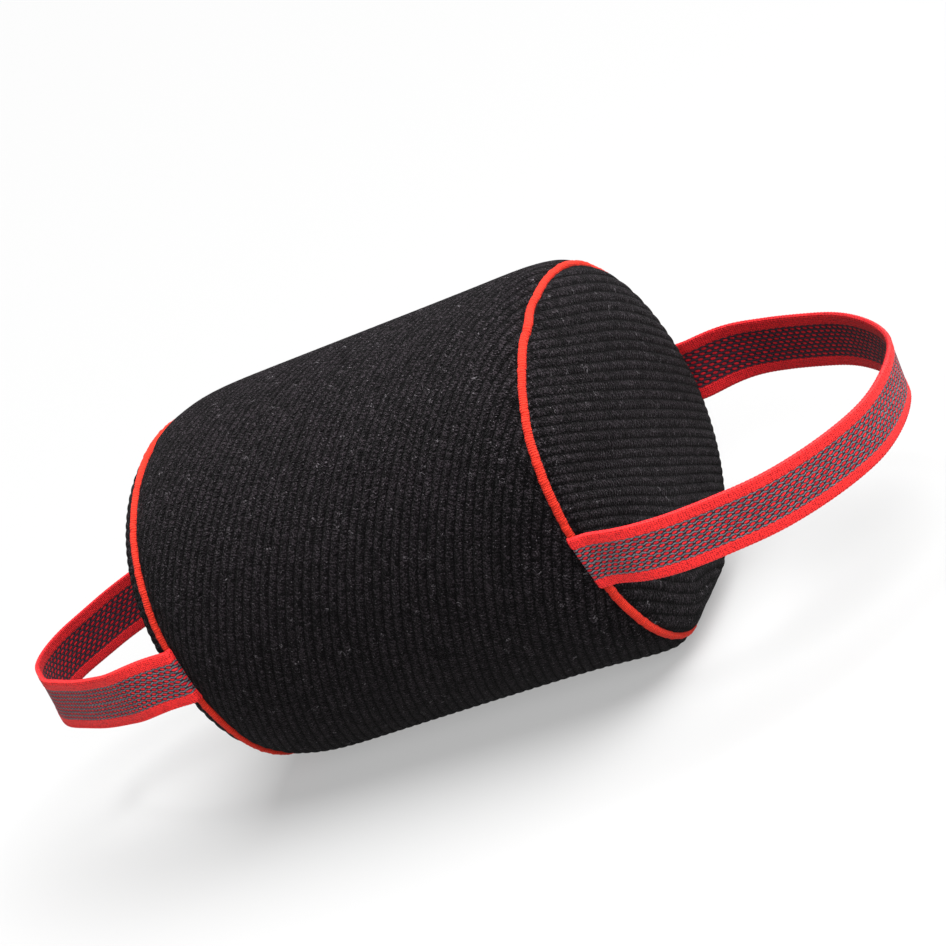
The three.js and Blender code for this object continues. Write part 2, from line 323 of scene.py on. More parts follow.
webbing = {
    "width": 20 * mm,
    "thickness": 1.8 * mm,
    "middleHalf": 6.1 * mm,  # half the mottled middle between the red edge bands
    "rowPitch": 1.45 * mm,
    "dotPitch": 2.6 * mm,  # along one row; the next row is half a pitch on
    "dotHalfLength": 0.88 * mm,
    "dotHalfWidth": 0.40 * mm,
    "dotTilt": 0.16,
    "yarnHalf": 0.24 * mm,
    "yarnSway": 0.20 * mm,
}


def webbingFinish():
    # weave map in metres: across the webbing from its middle (plus 0.1 on its inner face), and along it
    s = Shader("mottledWebbing")
    place, along = s.uv()
    w = webbing
    inside = s.math("GREATER_THAN", place, 0.05)
    across = s.math("SUBTRACT", place, s.math("MULTIPLY", inside, 0.1))
    fromMiddle = s.math("ABSOLUTE", across)
    row = s.math("DIVIDE", across, w["rowPitch"])
    parity = s.math("FLOORED_MODULO", s.math("FLOOR", row), 2.0)
    cell = s.math("MULTIPLY_ADD", parity, 0.5, s.math("DIVIDE", along, w["dotPitch"]))
    dotX = s.math("MULTIPLY", s.math("SUBTRACT", s.math("FRACT", cell), 0.5), w["dotPitch"])
    dotY = s.math("MULTIPLY", s.math("SUBTRACT", s.math("FRACT", row), 0.5), w["rowPitch"])
    leaned = s.math("SUBTRACT", dotY, s.math("MULTIPLY", dotX, w["dotTilt"]))
    sway = s.math("COSINE", s.math("MULTIPLY", dotX, turn / w["dotPitch"]))
    stair = s.math("SUBTRACT", fromMiddle, s.math("MULTIPLY", s.math("SINE", s.math(
        "MULTIPLY", along, turn / w["dotPitch"])), 0.16 * mm))
    middle = s.math("SUBTRACT", 1.0,
                    s.smooth(stair, w["middleHalf"] - 0.12 * mm, w["middleHalf"] + 0.12 * mm))
    reach = s.math("ADD",
                   s.math("POWER", s.math("ABSOLUTE", s.math("DIVIDE", dotX, w["dotHalfLength"])), 2.0),
                   s.math("POWER", s.math("ABSOLUTE", s.math("DIVIDE", leaned, w["dotHalfWidth"])), 2.0))
    dot = s.math("SUBTRACT", 1.0, s.smooth(reach, 0.7, 1.3))
    yarnEdge = s.math("MULTIPLY_ADD", sway, w["yarnSway"], w["rowPitch"] / 2 - w["yarnHalf"])
    fromYarn = s.math("SUBTRACT", s.math("ABSOLUTE", dotY), yarnEdge)
    yarn = s.smooth(fromYarn, -0.08 * mm, 0.07 * mm)
    fibre = s.objectNoise(2400.0, 3.0)
    grain = s.smooth(fibre, 0.32, 0.68)
    chance = s.cellNoise(s.combine(s.math("FLOOR", row), s.math("FLOOR", cell)))
    redDot = s.mix(s.math("MULTIPLY_ADD", chance, 0.6, s.math("MULTIPLY", grain, 0.4)),
                   (0.40, 0.007, 0.018, 1), (0.82, 0.030, 0.038, 1))
    grey = s.mix(grain, (0.05, 0.055, 0.068, 1), (0.20, 0.21, 0.24, 1))
    # painted shade: the inner face's mottled middle is a darker grey too
    grey = s.mix(inside, grey, (0.05, 0.045, 0.05, 1))
    # painted shade: a dark outline between the grey yarns and the red dots
    inner = s.mix(yarn, (0.030, 0.012, 0.018, 1), grey)
    inner = s.mix(dot, inner, redDot)
    knit = s.math("SINE", s.math("MULTIPLY", s.math("ADD", s.math("MULTIPLY", along, 1 / (1.5 * mm)),
                                                      s.math("MULTIPLY", across, 1 / (1.2 * mm))), turn))
    knot = s.math("SINE", s.math("MULTIPLY", s.math("SUBTRACT", s.math("MULTIPLY", along, 1 / (1.5 * mm)),
                                                      s.math("MULTIPLY", across, 1 / (1.2 * mm))), turn))
    band = s.math("MULTIPLY_ADD", s.math("MULTIPLY", knit, knot), 0.5, 0.5)
    tone = s.math("MULTIPLY_ADD", band, 0.5, s.math("MULTIPLY", grain, 0.5), clamp=True)
    tone = s.smooth(tone, 0.10, 0.62)
    outer = s.mix(tone, (0.28, 0.004, 0.009, 1), (0.89, 0.031, 0.030, 1))
    color = s.mix(middle, outer, inner)
    paintedInnerShade = s.mix(inside, (1, 1, 1, 1), (0.50, 0.30, 0.42, 1))  # painted shade: the inner face is darkened to stand in for the shade the far legs lie in
    tint = s.add("ShaderNodeMix", data_type="RGBA", blend_type="MULTIPLY")
    s.put(tint.inputs["Factor"], 1.0)
    s.put(tint.inputs[6], color)
    s.put(tint.inputs[7], paintedInnerShade)
    bandHeight = s.math("MULTIPLY", s.math("ADD", band, s.math("MULTIPLY", fibre, 0.9)), 0.55)
    middleHeight = s.math("ADD", s.math("MULTIPLY", s.math("MAXIMUM", dot, yarn), 0.7),
                          s.math("MULTIPLY", fibre, 0.5))
    level = s.math("ADD", s.math("MULTIPLY", middleHeight, middle),
                   s.math("MULTIPLY", bandHeight, s.math("SUBTRACT", 1.0, middle)))
    return s.finish(tint.outputs[2], 0.68, s.bump(level, 0.4 * mm, 0.9), sheen=0.02, specular=0.1)


def plainThread():
    s = Shader("blackThread")
    twist = s.objectNoise(3500.0, 2.0)
    color = s.mix(twist, (0.008, 0.008, 0.009, 1), (0.05, 0.05, 0.055, 1))
    return s.finish(color, 0.5, s.bump(twist, 0.1 * mm), sheen=0.1)


def innerFinish(name, dark, light, scale):
    s = Shader(name)
    grain = s.objectNoise(scale, 3.0)
    return s.finish(s.mix(grain, dark, light), 0.85, s.bump(grain, 0.2 * mm), sheen=0.2)


finishes = {
    "cover_fabric": ribbedBlack(),
    "piping_tape": wovenRed(),
    "webbing": webbingFinish(),
    "thread": plainThread(),
    "lining": innerFinish("liningCloth", (0.16, 0.16, 0.155, 1), (0.32, 0.32, 0.31, 1), 1500.0),
    "stuffing": innerFinish("packedFibre", (0.45, 0.41, 0.34, 1), (0.75, 0.70, 0.60, 1), 400.0),
    "piping_cord": innerFinish("cottonCord", (0.60, 0.57, 0.50, 1), (0.85, 0.82, 0.75, 1), 1800.0),
}
print("finishes made")


def coverRadius(x):
    drop = size["sideRadius"] - seamEdge
    sharpness = np.where(x > 0, *(cloth["shoulderSharpness"][end] for end in ("right", "left")))
    share = np.minimum(np.abs(x) / seamHalf, 1.0) ** sharpness
    return size["sideRadius"] - drop * share


def domeX(end, radius):
    start = seamHalf + 0.9 * mm
    rise = size["domeTop"][end] - start
    share = np.clip(radius / (seamEdge + 0.4 * mm), 0, 1)
    return start + rise * (1 - share ** 2.3) ** 0.46


sack = {
    "angles": 72,
    "sideRings": 30,
    "domeRings": 10,
    "pressure": 4.0,
    "ease": 0.02,  # cloth cut a little bigger than the filling
    "cap": 1.2 * mm,
    "lastFrame": 20,
}


def sackRings():
    # the profile from the right pole to the left pole, with both seams on it
    domeShares = np.sin(np.linspace(0, math.pi / 2, sack["domeRings"] + 1)) * seamEdge
    side = np.cos(np.linspace(0, math.pi, sack["sideRings"] + 1)) * (seamHalf - 1.2 * mm)
    rings = [(domeX("right", r), r) for r in domeShares]
    rings += [(x, coverRadius(x)) for x in side]
    rings += [(-domeX("left", r), r) for r in domeShares[::-1]]
    return np.array(rings)


def simulateSack():
    # returns how far pressure moves each point of the roll, as a grid of rings and angles
    rings = sackRings()
    count = sack["angles"]
    angles = closingAngle + np.arange(count) * turn / count
    inner = rings[1:-1]
    grid = onRoll(inner[:, :1], inner[:, 1:] * 0.992, angles[None, :])
    poles = [(rings[0][0], 0, axisHeight), (rings[-1][0], 0, axisHeight)]
    points = np.concatenate([grid.reshape(-1, 3), np.array(poles)])
    quads = gridFaces(len(inner), count, True)
    piece = newMesh("sackTrial", points, quads)
    mesh = piece.data
    bmeshFan(piece, len(inner), count)
    faceOutward(piece)
    pins = piece.vertex_groups.new(name="pins")
    seams = [sack["domeRings"] - 1, sack["domeRings"], sack["domeRings"] + sack["sideRings"],
             sack["domeRings"] + sack["sideRings"] + 1]
    for ring in seams:
        pins.add([ring * count + k for k in range(count)], 1.0, "REPLACE")
    modifier = piece.modifiers.new("cloth", "CLOTH")
    settings = modifier.settings
    settings.quality = 6
    settings.mass = 0.3
    settings.tension_stiffness = 25
    settings.compression_stiffness = 25
    settings.shear_stiffness = 8
    settings.bending_stiffness = 1.5
    settings.use_pressure = True
    settings.uniform_pressure_force = sack["pressure"]
    settings.effector_weights.gravity = 0
    settings.vertex_group_mass = "pins"
    settings.shrink_min = -sack["ease"]
    modifier.point_cache.frame_start = 1
    modifier.point_cache.frame_end = sack["lastFrame"]
    scene = bpy.context.scene
    for step in range(1, sack["lastFrame"] + 1):
        scene.frame_set(step)
    shaped = piece.evaluated_get(bpy.context.evaluated_depsgraph_get()).data
    after = np.empty(len(shaped.vertices) * 3)
    shaped.vertices.foreach_get("co", after)
    moved = (after.reshape(-1, 3)[:len(inner) * count]).reshape(grid.shape) - grid
    scene.frame_set(1)
    moved -= moved.mean(axis=1, keepdims=True) * np.array([1, 0, 0])
    outward = grid - np.array([0, 0, axisHeight])
    outward[..., 0] = 0
    outward /= np.linalg.norm(outward, axis=-1, keepdims=True)
    swell = (moved * outward).sum(axis=-1, keepdims=True)
    moved -= outward * swell.mean(axis=1, keepdims=True)  # keeps the roll's measured girth
    bpy.data.objects.remove(piece)
    bpy.data.meshes.remove(mesh)
    length = np.linalg.norm(moved, axis=-1, keepdims=True)
    moved *= np.minimum(1, sack["cap"] / np.maximum(length, 1e-9))
    return moved


def bmeshFan(piece, rows, columns):
    # closes both poles of the sack with triangles
    work = bmesh.new()
    work.from_mesh(piece.data)
    work.verts.ensure_lookup_table()
    for ring, pole in ((0, rows * columns), (rows - 1, rows * columns + 1)):
        for k in range(columns):
            a = work.verts[ring * columns + k]
            b = work.verts[ring * columns + (k + 1) % columns]
            corner = (a, b, work.verts[pole]) if ring else (b, a, work.verts[pole])
            work.faces.new(corner)
    work.to_mesh(piece.data)
    work.free()


def smoothSample(field, rows, columns):
    # cubic B-spline sample of a grid whose columns go round
    def weights(share):
        return [(1 - share) ** 3 / 6, (3 * share ** 3 - 6 * share ** 2 + 4) / 6,
                (-3 * share ** 3 + 3 * share ** 2 + 3 * share + 1) / 6, share ** 3 / 6]
    rowBase = np.floor(rows).astype(int)
    columnBase = np.floor(columns).astype(int)
    rowWeights = weights(rows - rowBase)
    columnWeights = weights(columns - columnBase)
    total = 0
    for i in range(4):
        r = np.clip(rowBase + i - 1, 0, field.shape[0] - 1)
        for j in range(4):
            c = (columnBase + j - 1) % field.shape[1]
            total = total + field[r, c] * (rowWeights[i] * columnWeights[j])[..., None]
    return total


sackMoves = simulateSack()
print("sack simulated, farthest move %.2f mm" % (np.linalg.norm(sackMoves, axis=-1).max() / mm))


def coverMoves(x, angle):
    # where x lies between the seam rings of the sack
    share = np.arccos(np.clip(x / (seamHalf - 1.2 * mm), -1, 1)) / math.pi
    rows = sack["domeRings"] + share * sack["sideRings"]
    columns = ((angle - closingAngle) / turn * sack["angles"]) % sack["angles"]
    return smoothSample(sackMoves, rows, columns)


def domeMoves(end, radius, angle):
    share = np.arcsin(np.clip(radius / seamEdge, 0, 1)) / (math.pi / 2)
    rows = share * sack["domeRings"] - 1
    if end == "left":
        rows = sackMoves.shape[0] - 1 - rows
    columns = ((angle - closingAngle) / turn * sack["angles"]) % sack["angles"]
    fade = np.clip(radius / (0.85 * seamEdge), 0, 1)[..., None]
    return smoothSample(sackMoves, rows, columns) * fade * fade * (3 - 2 * fade)


def ribRelief():
    # geometry nodes: lifts each rib out of the cloth along its normal
    tree = bpy.data.node_groups.new("ribRelief", "GeometryNodeTree")
    face = tree.interface
    face.new_socket("Geometry", in_out="INPUT", socket_type="NodeSocketGeometry")
    for label in ("Rib depth", "Rib roundness"):
        face.new_socket(label, in_out="INPUT", socket_type="NodeSocketFloat")
    face.new_socket("Cloth", in_out="INPUT", socket_type="NodeSocketMaterial")
    face.new_socket("Geometry", in_out="OUTPUT", socket_type="NodeSocketGeometry")
    nodes, links = tree.nodes, tree.links
    given = nodes.new("NodeGroupInput")
    out = nodes.new("NodeGroupOutput")

    def attribute(name):
        node = nodes.new("GeometryNodeInputNamedAttribute")
        node.data_type = "FLOAT"
        node.inputs["Name"].default_value = name
        return node.outputs[0]

    def maths(operation, *values):
        node = nodes.new("ShaderNodeMath")
        node.operation = operation
        for socket, value in zip(node.inputs, values):
            if isinstance(value, bpy.types.NodeSocket):
                links.new(value, socket)
            else:
                socket.default_value = value
        return node.outputs[0]

    share = maths("FRACT", attribute("ribCount"))
    fromMiddle = maths("ABSOLUTE", maths("MULTIPLY_ADD", share, 2.0, -1.0))
    ridge = maths("SUBTRACT", 1.0, maths("POWER", fromMiddle, given.outputs["Rib roundness"]))
    lift = maths("MULTIPLY", maths("SUBTRACT", ridge, 0.6), given.outputs["Rib depth"])
    lift = maths("MULTIPLY", lift, attribute("ribShow"))
    scale = nodes.new("ShaderNodeVectorMath")
    scale.operation = "SCALE"
    links.new(nodes.new("GeometryNodeInputNormal").outputs[0], scale.inputs[0])
    links.new(lift, scale.inputs["Scale"])
    place = nodes.new("GeometryNodeSetPosition")
    links.new(given.outputs["Geometry"], place.inputs["Geometry"])
    links.new(scale.outputs[0], place.inputs["Offset"])
    real = nodes.new("GeometryNodeRealizeInstances")
    links.new(place.outputs[0], real.inputs[0])
    dress = nodes.new("GeometryNodeSetMaterial")
    links.new(real.outputs[0], dress.inputs["Geometry"])
    links.new(given.outputs["Cloth"], dress.inputs["Material"])
    links.new(dress.outputs[0], out.inputs[0])
    return tree


def applyNodes(piece, tree, values):
    # sets the tree's inputs by socket identifier, then keeps its result as a plain mesh
    modifier = piece.modifiers.new("nodes", "NODES")
    modifier.node_group = tree
    for item in tree.interface.items_tree:
        if item.item_type == "SOCKET" and item.in_out == "INPUT" and item.name in values:
            modifier[item.identifier] = values[item.name]
    piece.update_tag()
    bpy.context.view_layer.update()
    graph = bpy.context.evaluated_depsgraph_get()
    made = bpy.data.meshes.new_from_object(piece.evaluated_get(graph), preserve_all_data_layers=True,
                                           depsgraph=graph)
    piece.modifiers.remove(modifier)
    piece.data = made
    made.name = piece.name
    return piece


ribTree = ribRelief()


def raiseRibs(piece):
    return applyNodes(piece, ribTree, {
        "Rib depth": cloth["ribDepth"], "Rib roundness": 2.4, "Cloth": finishes["cover_fabric"]})


coverMake = {"columns": 680, "alongStep": 0.50 * mm, "lipRadius": 53 * mm}


def halfProfile(side):
    # x, radius and distance along the cloth, from the middle into one seam
    x = side * np.concatenate([np.linspace(0, 0.80, 60)[:-1], np.linspace(0.80, 0.9865, 240)]) * seamHalf
    radius = coverRadius(x)
    length = np.concatenate([[0], np.cumsum(np.hypot(np.diff(x), np.diff(radius)))])
    steps = int(length[-1] / coverMake["alongStep"])
    even = np.linspace(0, length[-1], steps + 1)
    half = np.stack([np.interp(even, length, x), np.interp(even, length, radius), even], axis=1)
    lip, edge, end = half[-1]
    tuck = np.array([[lip - side * 0.1 * mm, edge - 1.2 * mm, end + 1.2 * mm],
                     [lip - side * 0.5 * mm, coverMake["lipRadius"], end + 4 * mm],
                     [lip - side * 1.2 * mm, coverMake["lipRadius"] * 0.55, end + 20 * mm],
                     [lip - side * 1.5 * mm, coverMake["lipRadius"] * 0.15, end + 40 * mm]])
    half = np.concatenate([half, tuck])
    half[:, 2] *= side
    return half


def coverProfile():
    left, right = halfProfile(-1), halfProfile(1)
    return np.concatenate([left[1:][::-1], right])


def makeCover():
    profile = coverProfile()
    count = coverMake["columns"]
    angle = closingAngle + np.arange(count) * turn / count
    x, radius, along = (profile[:, k:k + 1] for k in range(3))
    fromSeam = np.minimum(angle - closingAngle, closingAngle + turn - angle)[None, :]
    groove = np.exp(-(fromSeam * size["sideRadius"] / (1.1 * mm)) ** 2)
    onSide = 1 - np.clip((np.abs(x) - 0.93 * seamHalf) / (0.05 * seamHalf), 0, 1)
    points = onRoll(x, radius - 1.1 * mm * groove * onSide, angle[None, :])
    points = points + coverMoves(x + 0 * angle, angle[None, :] + 0 * x)
    points[..., 2] = np.maximum(points[..., 2], 0.15 * mm)
    rib = (along + cloth["ribSlope"] * size["sideRadius"] * angle[None, :])
    rib = rib * math.cos(math.atan(cloth["ribSlope"])) / cloth["ribPitch"]
    yarn = (size["sideRadius"] * angle[None, :] - cloth["ribSlope"] * along)
    yarn = yarn * math.cos(math.atan(cloth["ribSlope"])) / cloth["stitchPitch"]
    rows = len(profile)
    quads = gridFaces(rows, count, True)
    flat = points.reshape(-1, 3)
    # the weave map breaks at the lengthwise seam: the last column of faces reads one turn on
    turnRib = cloth["ribSlope"] * size["sideRadius"] * turn
    turnRib *= math.cos(math.atan(cloth["ribSlope"])) / cloth["ribPitch"]
    turnYarn = size["sideRadius"] * turn * math.cos(math.atan(cloth["ribSlope"])) / cloth["stitchPitch"]
    corners = np.stack([rib.reshape(-1)[quads], yarn.reshape(-1)[quads]], axis=-1)
    wraps = (quads % count == 0) & ((quads % count).max(axis=1) == count - 1)[:, None]
    corners[..., 0] += wraps * turnRib
    corners[..., 1] += wraps * turnYarn
    cover = newMesh("coverPanel", flat, quads, corners, finishes["cover_fabric"])
    closeEnds(cover, rows, count)
    faceOutward(cover)
    edge = np.clip((0.985 * seamHalf - np.abs(x)) / (1.2 * mm), 0, 1)
    press = np.clip((points[..., 2]) / (1.5 * mm), 0.25, 1)
    show = edge * (1 - np.exp(-(fromSeam * size["sideRadius"] / (1.6 * mm)) ** 2)) * press
    pointAttribute(cover, "ribCount", np.broadcast_to(rib, show.shape).reshape(-1))
    pointAttribute(cover, "ribShow", show.reshape(-1))
    return raiseRibs(cover)


def closeEnds(piece, rows, columns):
    work = bmesh.new()
    work.from_mesh(piece.data)
    work.verts.ensure_lookup_table()
    for ring in (0, rows - 1):
        loop = [work.verts[ring * columns + k] for k in range(columns)]
        work.faces.new(loop if ring == 0 else loop[::-1])
    bmesh.ops.recalc_face_normals(work, faces=work.faces)
    work.to_mesh(piece.data)
    work.free()


panelMake = {"cells": 250, "backDepth": 1.6 * mm}


def discGrid(cells):
    # a square grid bent into a disc, evenly spaced, for radius and angle
    line = np.linspace(-1, 1, cells + 1)
    a, b = np.meshgrid(line, line, indexing="ij")
    wide = np.abs(a) > np.abs(b)
    safeA = np.where(np.abs(a) < 1e-12, 1e-12, a)
    safeB = np.where(np.abs(b) < 1e-12, 1e-12, b)
    radius = np.where(wide, a, b)
    angle = np.where(wide, (math.pi / 4) * (b / safeA), math.pi / 2 - (math.pi / 4) * (a / safeB))
    angle = np.where(radius < 0, angle + math.pi, angle)
    return np.abs(radius), angle


def rimLoop(cells):
    n = cells + 1
    top = [(0, j) for j in range(cells)]
    right = [(i, cells) for i in range(cells)]
    bottom = [(cells, j) for j in range(cells, 0, -1)]
    left = [(i, 0) for i in range(cells, 0, -1)]
    return [i * n + j for i, j in top + right + bottom + left]


def makePanel(end):
    side = ends[end]
    cells = panelMake["cells"]
    share, angle = discGrid(cells)
    rim = seamEdge + 0.4 * mm
    radius = rim * np.sin(share * math.pi / 2) ** 0.985
    x = side * domeX(end, radius)
    points = onRoll(x, radius, angle) + domeMoves(end, radius, angle)
    y = radius * np.cos(angle)
    z = radius * np.sin(angle)
    tilt = cloth["endRibAngle"]
    rib = (z * math.cos(tilt) - y * math.sin(tilt)) / cloth["ribPitch"]
    yarn = (y * math.cos(tilt) + z * math.sin(tilt)) / cloth["stitchPitch"]
    quads = gridFaces(cells + 1, cells + 1, False)
    flat = points.reshape(-1, 3)
    corners = np.stack([rib.reshape(-1)[quads], yarn.reshape(-1)[quads]], axis=-1)
    panel = newMesh("endPanel" + end.capitalize(), flat, quads, corners, finishes["cover_fabric"])
    closeBack(panel, rimLoop(cells), side)
    faceOutward(panel)
    extra = len(panel.data.vertices) - flat.shape[0]
    show = np.clip((rim - radius) / (1.5 * mm), 0, 1).reshape(-1)
    pointAttribute(panel, "ribCount", np.concatenate([rib.reshape(-1), np.zeros(extra)]))
    pointAttribute(panel, "ribShow", np.concatenate([show, np.zeros(extra)]))
    return raiseRibs(panel)


def closeBack(panel, rim, side):
    # turns the panel's edge in behind the piping and closes its back
    work = bmesh.new()
    work.from_mesh(panel.data)
    work.verts.ensure_lookup_table()
    before = [work.verts[k] for k in rim]
    for inward, back in ((0.975, 0.2 * mm), (0.9, panelMake["backDepth"] * 0.2)):
        after = []
        for vertex in before:
            place = vertex.co.copy()
            place.x = side * (seamHalf + 0.9 * mm - back)
            place.y *= inward
            place.z = axisHeight + (place.z - axisHeight) * inward
            after.append(work.verts.new(place))
        for k in range(len(rim)):
            j = (k + 1) % len(rim)
            work.faces.new((before[k], before[j], after[j], after[k]))
        before = after
    work.faces.new(before)
    bmesh.ops.recalc_face_normals(work, faces=work.faces)
    work.to_mesh(panel.data)
    work.free()


def closedShape(name, profile, slotName):
    # a closed shape turned about the roll's axis from points of x and radius, ending on the axis
    count = 96
    angle = np.arange(count) * turn / count
    profile = np.asarray(profile)
    points = onRoll(profile[:, :1], np.maximum(profile[:, 1:], 0.3 * mm), angle[None, :])
    shape = newMesh(name, points.reshape(-1, 3), gridFaces(len(profile), count, True),
                    material=finishes[slotName])
    closeEnds(shape, len(profile), count)
    faceOutward(shape)
    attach(shape, bodyName)
    return shape


def makeInside():
    # the lining bag and its filling, which keep clear of the cover all round
    share = np.linspace(-1, 1, 41)
    x = np.sign(share) * (1 - (1 - np.abs(share)) ** 1.6) * (seamHalf - 2.4 * mm)
    outer = np.stack([x, coverRadius(x * 1.01) - 2.2 * mm], axis=1)
    inner = np.stack([x, outer[:, 1] - 0.8 * mm], axis=1)
    tube = ringShape("liningTube", np.concatenate([outer, inner[::-1]]))
    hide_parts("lining_tube")
    filling = np.stack([x, inner[:, 1] - 0.2 * mm], axis=1)
    caps = {}
    for end, side in ends.items():
        radius = np.linspace(1, 0, 14) * (seamEdge - 3.5 * mm)
        top = np.stack([side * (domeX(end, radius) - 2.2 * mm), radius], axis=1)
        under = top - np.array([side * 0.8 * mm, 0])
        cap = closedShape("liningEnd" + end.capitalize(), np.concatenate([under[::-1], top]), "lining")
        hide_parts("lining_end_" + end)
        caps[end] = under - np.array([side * 0.2 * mm, 0])
    closed = np.concatenate([caps["left"][::-1], filling[1:-1], caps["right"]])
    core = closedShape("stuffingCore", closed, "stuffing")
    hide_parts("stuffing_core")


def ringShape(name, section):
    # a ring-like shape turned about the roll's axis from a closed section
    count = 96
    angle = np.arange(count) * turn / count
    points = onRoll(section[:, :1], section[:, 1:], angle[None, :]).reshape(-1, 3)
    rows = len(section)
    quads = gridFaces(rows, count, True)
    last = gridFaces(2, count, True)
    last = np.where(last >= count, last - count, last + (rows - 1) * count)
    shape = newMesh(name, points, np.concatenate([quads, last]), material=finishes["lining"])
    faceOutward(shape)
    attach(shape, bodyName)
    return shape


makeInside()
cover = makeCover()
panels = {end: makePanel(end) for end in ends}
print("cloth pieces made")


piping = {
    "steps": 1440,
    "sides": 18,
    "fullness": {"right": 1.02, "left": 0.94},
    "wander": 0.16 * mm,  # how far the bead strays from a true ring
    "ripple": 0.035 * mm,
    "yarnRelief": 0.035,
    "kinks": {"right": [(104, 0.8), (94, -0.7), (66, 0.5)], "left": [(150, 0.4)]},  # degrees, mm
    "sunk": {"right": (282, 1.5), "left": (300, 0.5)},  # pulled in behind the end panel
}


def makePiping(end):
    side = ends[end]
    steps, sides = piping["steps"], piping["sides"]
    angle = np.arange(steps) * turn / steps
    seed = 1.3 if end == "right" else 2.9
    stray = (np.sin(5 * angle + seed) + 0.8 * np.sin(11 * angle + 2 * seed)
             + 0.5 * np.sin(23 * angle + 3 * seed)) * piping["wander"]
    for degrees, push in piping["kinks"][end]:
        apart = (angle - math.radians(degrees) + math.pi) % turn - math.pi
        stray = stray + push * mm * np.exp(-(apart / 0.06) ** 2)
    ripple = sum(np.sin(count * angle + seed * count) for count in (61, 83, 109, 131)) * piping["ripple"]
    degrees, depth = piping["sunk"][end]
    apart = (angle - math.radians(degrees) + math.pi) % turn - math.pi
    ring = size["beadRing"] + 0.4 * stray + ripple - depth * mm * np.exp(-(apart / 0.6) ** 4)
    x = side * seamHalf + stray + 0.7 * np.roll(ripple, 57)
    middle = onRoll(x, ring, angle)
    ahead = np.roll(middle, -1, axis=0) - np.roll(middle, 1, axis=0)
    ahead /= np.linalg.norm(ahead, axis=1, keepdims=True)
    along = np.array([1.0, 0, 0]) - ahead * ahead[:, :1]
    along /= np.linalg.norm(along, axis=1, keepdims=True)
    outward = np.cross(ahead, along)
    around = np.arange(sides) * turn / sides
    yarns = np.sin(turn * (3 * np.arange(sides)[None, :] / sides + 190 * np.arange(steps)[:, None] / steps))
    beadRadius = piping["fullness"][end] * size["beadRadius"] * (
        1 + 0.05 * np.sin(7 * angle + seed)[:, None] + piping["yarnRelief"] * yarns)[:, :, None]
    points = middle[:, None, :] + beadRadius * (
        np.cos(around)[None, :, None] * outward[:, None, :]
        + np.sin(around)[None, :, None] * along[:, None, :])
    i, j = np.meshgrid(np.arange(steps), np.arange(sides), indexing="ij")
    nextI, nextJ = (i + 1) % steps, (j + 1) % sides
    quads = np.stack([i * sides + j, i * sides + nextJ, nextI * sides + nextJ, nextI * sides + j],
                     axis=-1).reshape(-1, 4)
    weaveTurns = 9  # diagonal yarns round the bead
    weaveRuns = 240  # and round the ring
    u = np.stack([j, j + 1, j + 1, j], axis=-1).reshape(-1, 4) / sides * weaveTurns
    v = np.stack([i, i, i + 1, i + 1], axis=-1).reshape(-1, 4) / steps * weaveRuns
    bead = newMesh("piping" + end.capitalize(), points.reshape(-1, 3), quads,
                   np.stack([u, v], axis=-1), finishes["piping_tape"])
    faceOutward(bead)
    return bead


pipings = {end: makePiping(end) for end in ends}
print("piping made")


# outline points: distance out from the seam in mm, and share of the spread at the seam
handleMake = {
    "right": {
        "droop": 5.6, "lean": -3.5, "lift": 1.5,  # degrees, degrees and mm at the far end
        "widthShare": 1.0,
        "outline": [(18, 0.987), (32.2, 0.957), (46.5, 0.887), (61, 0.787), (73.4, 0.623), (82.3, 0.444),
                    (87.3, 0.28), (89.5, 0)],
    },
    "left": {
        "droop": 10.8, "lean": 20, "lift": 5.8,
        "widthShare": 1.04,
        "outline": [(22, 0.92), (34.2, 0.836), (49.4, 0.727), (64.6, 0.587), (78, 0.453),
                    (87.4, 0.28), (92.4, 0.18), (95, 0)],
    },
}
strapMake = {
    "alongStep": 0.42 * mm,
    "acrossCells": 66,
    "rimCells": 8,
    "tailRadius": 50 * mm,  # how near the roll's axis the sewn-in tail reaches
    "bend": 2.0 * mm,  # the webbing presses into the piping it crosses
    "inward": 1.0 * mm,  # how far inside the seam the tail goes down
    "lead": 5 * mm,  # straight stretch out from the seam
    "easeStart": 12 * mm,  # over this length beyond the lead the line is smoothed in
    "easeReach": 9 * mm,
    "edgeRound": 1.1 * mm,
    "dotDip": 0.16 * mm,
    "edgeRipple": 0.12 * mm,
    "ripplePitch": 1.45 * mm,
    "rippleFrom": 2.4 * mm,  # beyond the mottled middle
    "waver": 0.12 * mm,
    "waverLength": 19 * mm,
    "hugStart": 2 * mm,  # the roots follow the round seam, less and less from here
    "hugLength": 30 * mm,
}


def smoothPath(knots, step):
    # centripetal Catmull-Rom through the knots, evenly spaced
    knots = np.asarray(knots, dtype=float)
    first = 2 * knots[0] - knots[1]
    last = 2 * knots[-1] - knots[-2]
    p = np.concatenate([[first], knots, [last]])
    pieces = []
    for k in range(1, len(p) - 2):
        a, b, c, d = p[k - 1:k + 3]
        t = np.cumsum([0] + [np.linalg.norm(q - r) ** 0.5 for q, r in ((b, a), (c, b), (d, c))])
        u = np.linspace(t[1], t[2], 60)[:, None]
        ab = ((t[1] - u) * a + (u - t[0]) * b) / (t[1] - t[0])
        bc = ((t[2] - u) * b + (u - t[1]) * c) / (t[2] - t[1])
        cd = ((t[3] - u) * c + (u - t[2]) * d) / (t[3] - t[2])
        abc = ((t[2] - u) * ab + (u - t[0]) * bc) / (t[2] - t[0])
        bcd = ((t[3] - u) * bc + (u - t[1]) * cd) / (t[3] - t[1])
        pieces.append(((t[2] - u) * abc + (u - t[1]) * bcd) / (t[2] - t[1]))
    dense = np.concatenate([piece[:-1] for piece in pieces] + [knots[-1:]])
    length = np.concatenate([[0], np.cumsum(np.linalg.norm(np.diff(dense, axis=0), axis=1))])
    even = np.linspace(0, length[-1], int(length[-1] / step) + 1)
    return np.stack([np.interp(even, length, dense[:, k]) for k in range(dense.shape[1])], axis=1), even


